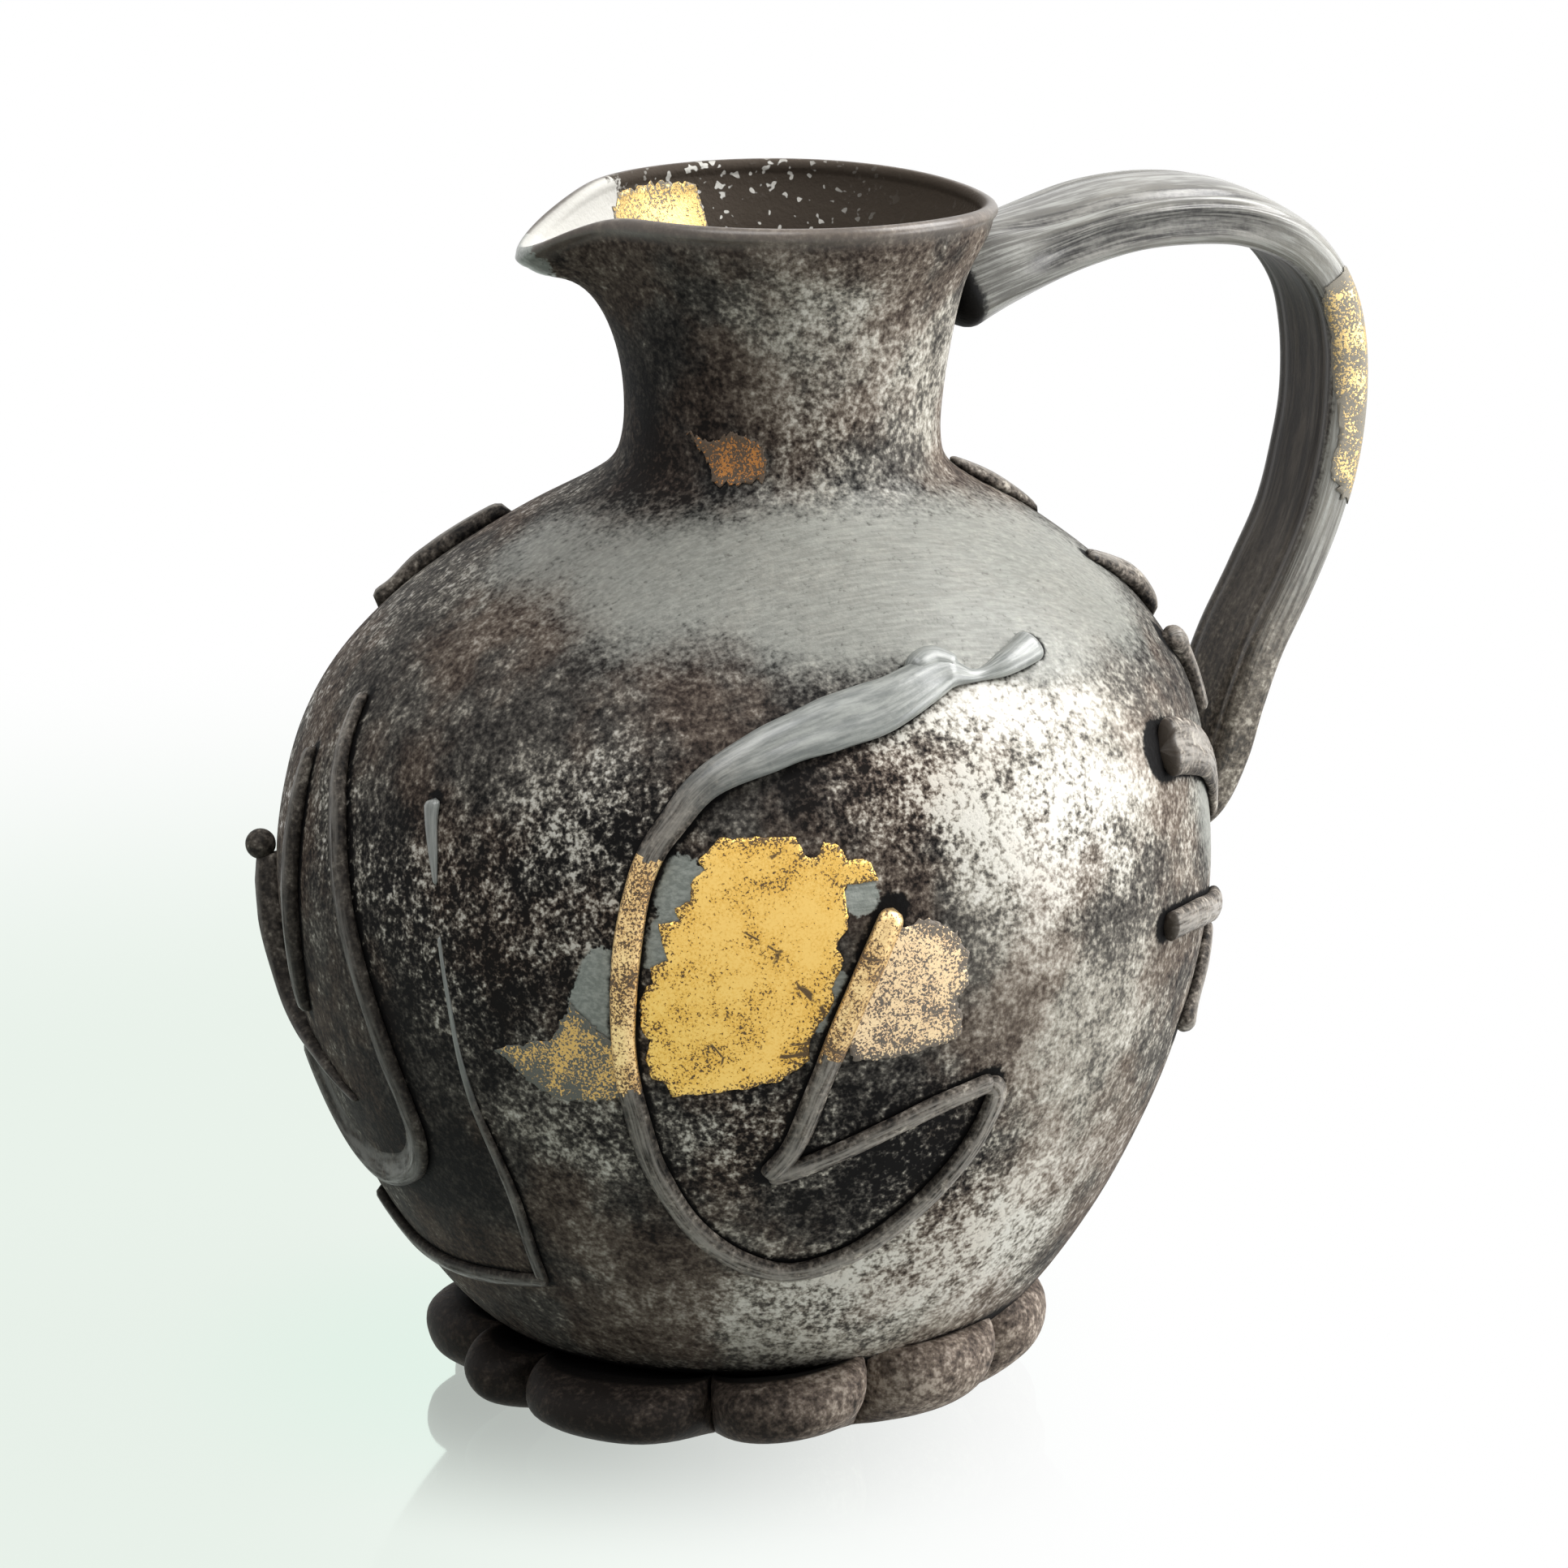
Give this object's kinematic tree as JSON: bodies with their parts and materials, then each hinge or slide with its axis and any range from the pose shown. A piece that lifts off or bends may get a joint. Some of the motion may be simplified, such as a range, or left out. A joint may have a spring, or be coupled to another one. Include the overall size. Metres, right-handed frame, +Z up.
{
  "type": "glass pitcher",
  "caption": "Round-bellied blown glass pitcher with a narrow neck, pulled spout, ribbed strap handle, pinched lobed foot, trailed glass threads and torn gold leaf on a crusted dark surface.",
  "frame": {"origin": "middle of the flat underside of the pinched foot", "axes": "+Z up, +X towards the handle, -X roughly towards the spout, -Y the front with the large gold leaf"},
  "size_m": [0.261, 0.2113, 0.2679],
  "materials": {
    "crusted_glass": "opaque dark grey glass with a matt mineral crust and pale flecks",
    "foot_glass": "opaque brown-grey glass, matt, with pale flecks",
    "strap_glass": "grey glass, half glossy, with pale lengthwise streaks",
    "thread_glass": "dark grey glass, half glossy where bare and matt where crusted",
    "gold_foil": "torn gold leaf, satin, with pits and fine cracks"
  },
  "bodies": {
    "root": {"body": "crusted_glass", "pinched_foot": "foot_glass", "handle": "strap_glass", "front_trail": "thread_glass", "thin_trail": "thread_glass", "left_hairpin": "thread_glass", "left_strand": "thread_glass", "knob_trail": "thread_glass", "left_shoulder_bar": "thread_glass", "right_shoulder_drop": "thread_glass", "right_upper_drop": "thread_glass", "right_bead_thread": "thread_glass", "right_hook": "thread_glass", "right_middle_bar": "thread_glass", "right_low_bar": "thread_glass", "front_leaf": "gold_foil", "left_leaf": "gold_foil", "right_leaf": "gold_foil", "neck_leaf": "gold_foil", "spout_leaf": "gold_foil", "handle_leaf": "gold_foil"}
  },
  "joints": []
}
